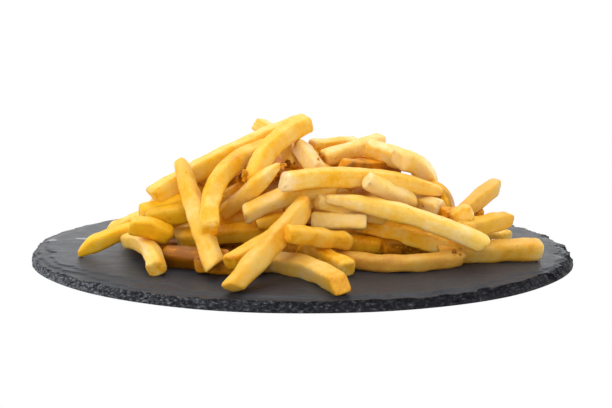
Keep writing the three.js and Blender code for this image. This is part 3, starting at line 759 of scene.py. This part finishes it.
def scars(draw, angles, shares):
    """Depth of the scars at each share of the height and each angle."""
    depth = np.zeros((len(shares), len(angles)))
    for size in SCARS:
        for _ in range(size["count"]):
            across = across_scar(draw, angles, size["width"])
            up = (shares - draw.uniform(*SCAR_MIDDLES)) / draw.uniform(*size["height"])
            bowl = np.sqrt(np.clip(1 - across**2 - up[:, None] ** 2, 0, 1))
            depth = np.maximum(depth, draw.uniform(*size["depth"]) * bowl)
    return depth * shares[:, None] ** SCAR_FADE


def sheet_breaks(draw, angles):
    depth = np.zeros(len(angles))
    for _ in range(SHEET_BREAKS["count"]):
        across = across_scar(draw, angles, SHEET_BREAKS["width"])
        broken = draw.uniform(*SHEET_BREAKS["depth"]) * np.sqrt(np.clip(1 - across**2, 0, 1))
        depth = np.maximum(depth, broken)
    return depth


def cleft_relief(x, y):
    """How far the split top lies below its highest layer: flat sheets with low steps between."""
    swell = np.zeros_like(x)
    draw = np.random.default_rng(SLATE_SEED)
    for _ in range(CLEFT_WAVES):
        heading = draw.normal(*CLEFT_HEADINGS)
        length = draw.uniform(*CLEFT_LENGTHS)
        across = x * math.cos(heading) + y * math.sin(heading)
        swell += np.sin(2 * math.pi * (across / length + draw.uniform())) * length
    layers = (swell - swell.min()) / np.ptp(swell) * CLEFT_STEPS
    sheet = np.floor(layers)
    edge = np.clip((layers - sheet) / CLEFT_EDGE, 0, 1)
    return CLEFT_DEPTH * (sheet + edge) / (CLEFT_STEPS + 1)


def flakes_lost(turns, inward):
    """How much of the top has flaked off near the rim, most of it at the front on the left."""
    depth = np.zeros_like(turns * inward)
    for flake in FLAKES:
        draw = np.random.default_rng(flake["seed"])
        ragged = sum(np.sin(around * turns + draw.uniform(*FLAKE_PHASES)) / around**0.5
                     for around in FLAKE_WAVES) / 3
        low, high = flake["reach"]
        share = ragged - FLAKED_LEFT * np.cos(turns) - FLAKED_FRONT * np.sin(turns)
        reach = low + (high - low) * share
        depth += flake["depth"] * np.clip((reach - inward) / FLAKE_STEP, 0, 1)
    return depth


def scuff_places(vertices):
    """Where the top is scuffed white: 0 elsewhere."""
    scuff = np.zeros(len(vertices))
    for x, y, length, width in SCUFFS:
        away = ((vertices[:, 0] - x) / length) ** 2 + ((vertices[:, 1] - y) / width) ** 2
        scuff += SCUFF_SHARE * np.exp(-away)
    return scuff


def rim_profile(angles):
    """Of each ring of the rim, from the bottom up: its share of the height, and its insets."""
    draw = np.random.default_rng(SLATE_SEED)
    wide = 1 + WIDER_RIM * np.cos(np.radians(angles - WIDE_RIM_AT))
    sheets = np.repeat(np.arange(SHEETS), len(SHEET_LEVELS))
    shares = RIM_FOOT + (1 - RIM_FOOT) * (sheets + np.tile(SHEET_LEVELS, SHEETS)) / SHEETS
    worn = np.cumsum([sheet_breaks(draw, angles) for _ in range(SHEETS)], 0)[sheets]
    insets = RIM_LEAST + (worn + scars(draw, angles, shares) + RIM_SLOPE * shares[:, None]) * wide
    return np.append(0, shares), np.vstack([np.full(len(angles), RIM_BEVEL), insets])


def top_height(flat, turns, inward):
    """Height of the top at places that lie inward of the rim."""
    return PLATE_TOP - cleft_relief(flat[:, 0], flat[:, 1]) - flakes_lost(turns, inward)


def slate_rings():
    """Rings of points: up the rim, inside the CAD solid's box, and then inwards over the top."""
    angles = np.arange(RIM_STEPS) * 360 / RIM_STEPS
    turns = np.radians(angles)
    directions = np.stack([np.cos(turns), np.sin(turns)], 1)
    slow = sum(height * np.sin(around * turns + phase) for around, phase, height in OUTLINE_WAVES)
    low, high = (np.array(corner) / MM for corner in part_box("slate_plate"))
    middle = (low + high)[:2] / 2
    reach = (high - low)[:2] / 2 - BOX_ROOM
    shares, insets = rim_profile(angles)
    outlines = [
        np.clip(directions * (PLATE_RADIUS + slow - inset)[:, None], -reach, reach) + middle
        for inset in insets
    ]
    edge = outlines[-1]
    edge_height = top_height(edge, turns, 0) - LIP_DROP
    rings = [np.column_stack([flat, share * edge_height]) for share, flat in zip(shares, outlines)]
    for inward in np.concatenate([
        FIRST_RING + EDGE_WIDTH * np.arange(EDGE_RINGS) / EDGE_RINGS,
        np.linspace(EDGE_WIDTH + FIRST_RING, PLATE_RADIUS - INNERMOST, TOP_RINGS - EDGE_RINGS),
    ]):
        flat = edge * (1 - inward / np.linalg.norm(edge, axis=1))[:, None]
        rings.append(np.column_stack([flat, top_height(flat, turns, inward)]))
    return rings


def slate_object():
    """The slate: a knapped rim and a cleft top, closed at the middles of its two sides."""
    rings = slate_rings()
    rim_rings = len(rings) - TOP_RINGS
    vertices = np.vstack([*rings, [[0, 0, 0], [0, 0, PLATE_TOP]]])
    quads, fans = tube_faces(len(rings), RIM_STEPS)
    piece = mesh_object("slate_server", vertices, quads.tolist() + fans.tolist())
    smooth = np.ones(len(quads) + len(fans), bool)
    smooth[: rim_rings * RIM_STEPS] = False
    smooth[len(quads) : len(quads) + RIM_STEPS] = False
    piece.data.polygons.foreach_set("use_smooth", smooth)
    rim = np.repeat([1.0] * rim_rings + [LIP_RIM] + [0.0] * (TOP_RINGS - 1), RIM_STEPS)
    add_attribute(piece, "rim", np.append(rim, [0.0, 0.0]))
    # Painted light: how far each place lies towards the left side of the rim, which is painted paler
    # there.
    lit_rim = np.cos(np.arctan2(vertices[:, 1], vertices[:, 0]) - math.radians(LIT_RIM_AT))
    add_attribute(piece, "lit_rim", np.clip(lit_rim, 0, 1))
    add_attribute(piece, "scuff", scuff_places(vertices))
    return piece


# -------- materials


class Nodes:
    """Short calls that add nodes to a material or to the world and link them."""

    def __init__(self, owner, shader="Principled BSDF"):
        owner.use_nodes = True
        self.tree = owner.node_tree
        self.shader = self.tree.nodes[shader]

    def plug(self, socket, value):
        if isinstance(value, bpy.types.NodeSocket):
            self.tree.links.new(value, socket)
        else:
            socket.default_value = value

    def set_shader(self, values):
        for name, value in values.items():
            self.plug(self.shader.inputs[name], value)

    def add(self, kind, inputs, output=0, **settings):
        node = self.tree.nodes.new(kind)
        for key, value in settings.items():
            setattr(node, key, value)
        for key, value in inputs.items():
            self.plug(node.inputs[key], value)
        return node.outputs[output]

    def attribute(self, name, output="Fac"):
        return self.add("ShaderNodeAttribute", {}, output, attribute_name=name)

    def math(self, operation, first, second=0.0, clamp=False):
        return self.add("ShaderNodeMath", {0: first, 1: second}, operation=operation, use_clamp=clamp)

    def stretched(self, vector, scale):
        return self.add("ShaderNodeVectorMath", {0: vector, 1: scale}, operation="MULTIPLY")

    def noise(self, vector, scale, detail=2.0, roughness=0.5):
        inputs = {"Vector": vector, "Scale": scale, "Detail": detail, "Roughness": roughness}
        return self.add("ShaderNodeTexNoise", inputs, "Fac")

    def around_zero(self, value, most):
        """A noise from 0 to 1 turned into one from -most to most."""
        return self.math("MULTIPLY", self.math("SUBTRACT", value, 0.5), 2 * most)

    def uneven(self, vector, most, scale, detail=2.0, roughness=0.5):
        return self.around_zero(self.noise(vector, scale, detail, roughness), most)

    def total(self, *values):
        result = values[0]
        for value in values[1:]:
            result = self.math("ADD", result, value)
        return result

    def between(self, value, low, high):
        """0 at low and below, 1 at high and above."""
        inputs = {"Value": value, "From Min": low, "From Max": high}
        return self.add("ShaderNodeMapRange", inputs, clamp=True, interpolation_type="SMOOTHSTEP")

    def mix(self, share, first, second):
        inputs = {"Factor": share, 6: first, 7: second}
        return self.add("ShaderNodeMix", inputs, 2, data_type="RGBA")

    def ramp(self, share, stops):
        node = self.tree.nodes.new("ShaderNodeValToRGB")
        elements = node.color_ramp.elements
        while len(elements) < len(stops):
            elements.new(0.5)
        for element, (place, colour) in zip(elements, stops):
            element.position = place
            element.color = (*colour, 1)
        self.plug(node.inputs[0], share)
        return node.outputs[0]

    def bump(self, height, strength, distance, normal=None):
        inputs = {"Height": height, "Strength": strength, "Distance": distance}
        if normal is not None:
            inputs["Normal"] = normal
        return self.add("ShaderNodeBump", inputs)


# Base colours of a fry by its tone.
PALE_TO_DARK = [
    (0.0, (0.93, 0.71, 0.36)),
    (0.25, (0.93, 0.60, 0.13)),
    (0.5, (0.92, 0.46, 0.012)),
    (0.75, (0.74, 0.275, 0.003)),
    # The darkest stop is a deep brown, darkened also to paint the shade on fries that lie in shadow.
    (1.0, (0.28, 0.09, 0.001)),
]
LEMON_GOLD = (0.90, 0.56, 0.010, 1)
# Painted shade: the dull, darker brown of fries that lie low and in shade.
PAINTED_SHADE_TAN = (0.50, 0.26, 0.065, 1)
BROWNED = (0.42, 0.16, 0.02, 1)
BURNT = (0.16, 0.055, 0.015, 1)
# Unevenness: the most that it adds or takes away, and the scale, detail and roughness of its noise.
# A noise alone has the last three. Scales are for millimetres.
CLOUDS = (0.3, 0.11, 3.0)
STREAKS = (0.12, 1.0)
STREAKED = (0.05, 0.5, 0.5)
SPECKLES = (0.1, 0.9)
LEMON_PATCHES = (0.25, 0.09)
FRY_SHEEN = (0.08, 0.5)
BLOTCHES = (0.27, 3.0, 0.55)
BLISTERS = (0.7, 3.0, 0.6)
PORES = (2.6, 2.0, 0.6)
SPECK_SCALE = 0.075
# How strongly the noises show, and where they set in.
MOTTLE = 0.21
MOST_LEMON = 0.55
MOST_BROWNED = 0.6
BROWNED_FROM = (0.5, 0.68)
SPECK_SIZE = (0.02, 0.055)
MOST_BURNT = 0.5
# Bumps: their strength, and their height in metres.
BLISTER_BUMP = (0.35, 0.0006)
PORE_BUMP = (0.25, 0.0002)
FRY_ROUGHNESS = 0.46
FRY_SHADER = {
    "Subsurface Weight": 0.12,
    "Subsurface Radius": (1.0, 0.45, 0.12),
    "Subsurface Scale": 0.0025,
    "IOR": 1.45,
    "Specular IOR Level": 0.28,
}


def fry_material():
    material = bpy.data.materials.new("fried_potato")
    make = Nodes(material)
    grain = make.attribute("grain", "Vector")
    blotches = make.noise(grain, *BLOTCHES)
    tone = make.total(
        make.attribute("tone"),
        make.uneven(grain, *CLOUDS),
        make.uneven(make.stretched(grain, STREAKED), *STREAKS),
        make.math("MULTIPLY", make.around_zero(blotches, MOTTLE), make.attribute("mottled")),
        make.uneven(grain, *SPECKLES),
    )
    colour = make.ramp(tone, PALE_TO_DARK)
    yellow = make.math("MULTIPLY", make.attribute("lemon"), MOST_LEMON)
    yellow = make.math("ADD", yellow, make.uneven(grain, *LEMON_PATCHES), clamp=True)
    colour = make.mix(yellow, colour, LEMON_GOLD)
    # Painted shade: fries that lie low and in shade turn to a dull, darker brown.
    colour = make.mix(make.attribute("tan"), colour, PAINTED_SHADE_TAN)
    crust = make.math("MULTIPLY", make.attribute("crisp"), make.between(blotches, *BROWNED_FROM))
    colour = make.mix(make.math("MULTIPLY", crust, MOST_BROWNED), colour, BROWNED)
    spots = make.add("ShaderNodeTexVoronoi", {"Vector": grain, "Scale": SPECK_SCALE}, "Distance")
    speck = make.math("SUBTRACT", 1.0, make.between(spots, *SPECK_SIZE))
    colour = make.mix(make.math("MULTIPLY", speck, MOST_BURNT), colour, BURNT)
    blisters = make.bump(make.noise(grain, *BLISTERS), *BLISTER_BUMP)
    make.set_shader(FRY_SHADER)
    make.set_shader({
        "Base Color": colour,
        "Roughness": make.total(make.uneven(grain, *FRY_SHEEN), FRY_ROUGHNESS),
        "Normal": make.bump(make.noise(grain, *PORES), *PORE_BUMP, blisters),
    })
    return material


# The core has a noise in object space, so its scale is for metres.
SHADE_LUMPS = (260.0, 3.0)
# Painted shade: the core shows only in the gaps, and is coloured like deep orange fries in shade, so that
# the gaps look deep.
SHADE_TONES = [
    (0.3, (0.42, 0.14, 0.008)),
    (0.7, (0.70, 0.30, 0.020)),
]
SHADE_BUMP = (0.6, 0.002)
SHADE_SHADER = {"Specular IOR Level": 0.1, "Roughness": 0.7}


# Painted shade: the core's material paints the gaps of the heap as deep and shaded.
def core_material():
    material = bpy.data.materials.new("fries_in_shade")
    make = Nodes(material)
    place = make.add("ShaderNodeTexCoord", {}, "Object")
    lumps = make.noise(place, *SHADE_LUMPS)
    make.set_shader(SHADE_SHADER)
    make.set_shader({
        "Base Color": make.ramp(lumps, SHADE_TONES),
        "Normal": make.bump(lumps, *SHADE_BUMP),
    })
    return material


OBJECT_MM = (1000.0, 1000.0, 1000.0)  # from the objects' metres to millimetres
# Base colours of the top, and of the rim from its lowest to its highest flakes.
TOP_TONES = [
    (0.2, (0.0145, 0.017, 0.022)),
    (0.5, (0.024, 0.027, 0.034)),
    (0.8, (0.043, 0.0475, 0.057)),
]
RIM_TONES = [
    (0.38, (0.005, 0.005, 0.007)),
    (0.54, (0.013, 0.013, 0.017)),
    (0.66, (0.050, 0.053, 0.061)),
    (0.78, (0.19, 0.20, 0.225)),
]
CHALKY = (0.3, 0.31, 0.34, 1)
# Noises as above, three of them stretched.
PATCHES = (0.25, 0.02, 3.0, 0.6)
DUST = (0.8, 3.0, 0.7)
RIPPLED = (0.14, 0.25, 0.5)
RIPPLES = (1.0, 3.0, 0.55)
CHALKED = (0.1, 0.35, 0.5)
CHALK = (1.0, 5.0, 0.75)
FLAKED = (0.5, 0.5, 0.9)
RIM_FLAKES = (1.0, 3.0, 0.7)
# How strongly they show, and where chalk sets in.
MEAN_TONE = 0.5
RIPPLE_TONES = 0.12
DUST_TONES = 0.1
CHALKY_FROM = (0.68, 0.76)
MOST_CHALKY = 0.8
LIT_RIM_PALER = 0.19
TOP_ROUGHNESS = 0.47
RIPPLE_SHEEN = 0.14
RIM_ROUGHER = 0.2
RIPPLE_BUMP = (0.1, 0.0008)
DUST_BUMP = (0.4, 0.0004)
FLAKE_BUMP = (0.8, 0.0015)
SLATE_SHADER = {"Specular IOR Level": 0.13}


def slate_material():
    material = bpy.data.materials.new("cleft_slate")
    make = Nodes(material)
    place = make.stretched(make.add("ShaderNodeTexCoord", {}, "Object"), OBJECT_MM)
    rim = make.attribute("rim")
    ripples = make.noise(make.stretched(place, RIPPLED), *RIPPLES)
    dust = make.noise(place, *DUST)
    shade = make.total(
        MEAN_TONE,
        make.uneven(place, *PATCHES),
        make.around_zero(ripples, RIPPLE_TONES),
        make.around_zero(dust, DUST_TONES),
    )
    chalk = make.total(make.noise(make.stretched(place, CHALKED), *CHALK), make.attribute("scuff"))
    chalky = make.math("MULTIPLY", make.between(chalk, *CHALKY_FROM), MOST_CHALKY)
    top = make.mix(chalky, make.ramp(shade, TOP_TONES), CHALKY)
    flakes = make.noise(make.stretched(place, FLAKED), *RIM_FLAKES)
    # Painted light: the rim is painted paler on its left side, as if light fell on it there.
    lit_rim = make.math("MULTIPLY", make.attribute("lit_rim"), LIT_RIM_PALER)
    edge = make.ramp(make.total(flakes, lit_rim), RIM_TONES)
    rougher = make.math("MULTIPLY", rim, RIM_ROUGHER)
    normal = make.bump(ripples, *RIPPLE_BUMP)
    normal = make.bump(dust, *DUST_BUMP, normal)
    make.set_shader(SLATE_SHADER)
    make.set_shader({
        "Base Color": make.mix(rim, top, edge),
        "Roughness": make.total(make.around_zero(ripples, RIPPLE_SHEEN), rougher, TOP_ROUGHNESS),
        "Normal": make.bump(make.math("MULTIPLY", flakes, rim), *FLAKE_BUMP, normal),
    })
    return material


# -------- the pieces

CORE_RINGS = 12
CORE_SPOKES = 64
CORE_LIFT = 0.1


def core_object():
    """A core of the heap's own, under all of the fries."""
    out = 1 - np.arange(CORE_RINGS)[:, None] / CORE_RINGS
    turn = 2 * math.pi * np.arange(CORE_SPOKES) / CORE_SPOKES
    depth = np.where(np.sin(turn) < 0, CORE["front"], CORE["back"])
    x = CORE["x"] + (CORE["side"] - UNDER["lowered"]) * out * np.cos(turn)
    y = CORE["y"] + (depth - UNDER["lowered"]) * out * np.sin(turn)
    floor = PLATE_TOP + CORE_LIFT
    height = CORE["height"] - UNDER["lowered"]
    z = floor + height * (1 - out ** CORE["power"])
    rings = np.stack(np.broadcast_arrays(x, y, z), -1).reshape(-1, 3)
    ends = [(CORE["x"], CORE["y"], floor), (CORE["x"], CORE["y"], PLATE_TOP + height)]
    quads, fans = tube_faces(CORE_RINGS, CORE_SPOKES)
    return mesh_object("heap_core", np.vstack([rings, ends]), quads.tolist() + fans.tolist())


def make_fries():
    material = fry_material()
    heap = lay_heap()
    dropped = len(heap.fries) - len(FRONT_FRIES)
    back = fries_object("fries_back", heap.fries[:dropped], 0, *BACK_MESH)
    front = fries_object("fries_front", heap.fries[dropped:], dropped, *FRONT_MESH)
    under = fries_object("fries_under", lay_under().fries, UNDER_INDEX, *UNDER_MESH)
    for piece in (back, front, under, crumbs_object(heap)):
        dress(piece, material, "fries_heap")


# -------- stage, light and camera

# The camera's turn is in degrees.
EYE_PITCH = 8.2
EYE_ROLL = 0.32
LENS = 70.0
SENSOR = 36.0
FLOOR_REACH = 8000.0
FLOOR_SHADER = {
    "Base Color": (0, 0, 0, 1),
    "Specular IOR Level": 0.0,
    "Emission Color": (1, 1, 1, 1),
    "Emission Strength": 1.0,
}
# The world is as bright as its backdrop up to HORIZON_TOP degrees, and in the next HORIZON_FADE
# degrees it falls to OVERHEAD.
HORIZON_TOP = 6
HORIZON_FADE = 8
OVERHEAD = 0.65
BACKDROP_FRONT = 1.0
BACKDROP_BEHIND = 4.5
# Each sun: its name, where it stands, its strength and how broad it is, in degrees.
SUNS = [
    ("top_light", (-0.1, 0.5, 1.0), 1.5, 50),
    ("front_light", (-0.45, -1.0, 0.85), 1.15, 60),
]


def make_camera():
    data = bpy.data.cameras.new("eye")
    data.lens = LENS
    data.sensor_width = SENSOR
    data.clip_start = 0.01
    data.clip_end = 50
    camera = new_object("eye", data)
    turn = Matrix.Rotation(math.radians(90 - EYE_PITCH), 4, "X")
    roll = Matrix.Rotation(math.radians(EYE_ROLL), 4, "Z")
    camera.matrix_world = Matrix.Translation(Vector(EYE) * MM) @ turn @ roll
    bpy.context.scene.camera = camera


def make_stage():
    """A white floor that glows, so that it takes no shadow."""
    corners = np.array([(-1, -1, 0), (1, -1, 0), (1, 1, 0), (-1, 1, 0)])
    floor = mesh_object("floor", corners * FLOOR_REACH, [(0, 1, 2, 3)])
    material = bpy.data.materials.new("white_floor")
    Nodes(material).set_shader(FLOOR_SHADER)
    floor.data.materials.append(material)


def make_world():
    """White all round at eye level and brightest behind the heap, and dimmer overhead."""
    world = bpy.data.worlds.new("studio")
    make = Nodes(world, "Background")
    direction = make.add("ShaderNodeTexCoord", {}, "Generated")
    backdrop = make.add("ShaderNodeMapRange", {
        "Value": make.add("ShaderNodeSeparateXYZ", {0: direction}, "Y"),
        "From Min": -1,
        "From Max": 1,
        "To Min": BACKDROP_FRONT,
        "To Max": BACKDROP_BEHIND,
    })
    strength = make.add("ShaderNodeMapRange", {
        "Value": make.add("ShaderNodeSeparateXYZ", {0: direction}, "Z"),
        "From Min": math.sin(math.radians(HORIZON_TOP)),
        "From Max": math.sin(math.radians(HORIZON_TOP + HORIZON_FADE)),
        "To Min": backdrop,
        "To Max": OVERHEAD,
    })
    make.set_shader({"Color": (1, 1, 1, 1), "Strength": strength})
    bpy.context.scene.world = world


def make_light():
    make_world()
    for name, direction, strength, spread in SUNS:
        data = bpy.data.lights.new(name, "SUN")
        data.energy = strength
        data.angle = math.radians(spread)
        light = new_object(name, data)
        light.rotation_euler = Vector(direction).to_track_quat("Z", "Y").to_euler()
    bpy.context.scene.view_settings.view_transform = "Standard"


make_camera()
make_stage()
make_light()
make_fries()
dress(core_object(), core_material(), "fries_heap")
dress(slate_object(), slate_material(), "slate_plate")
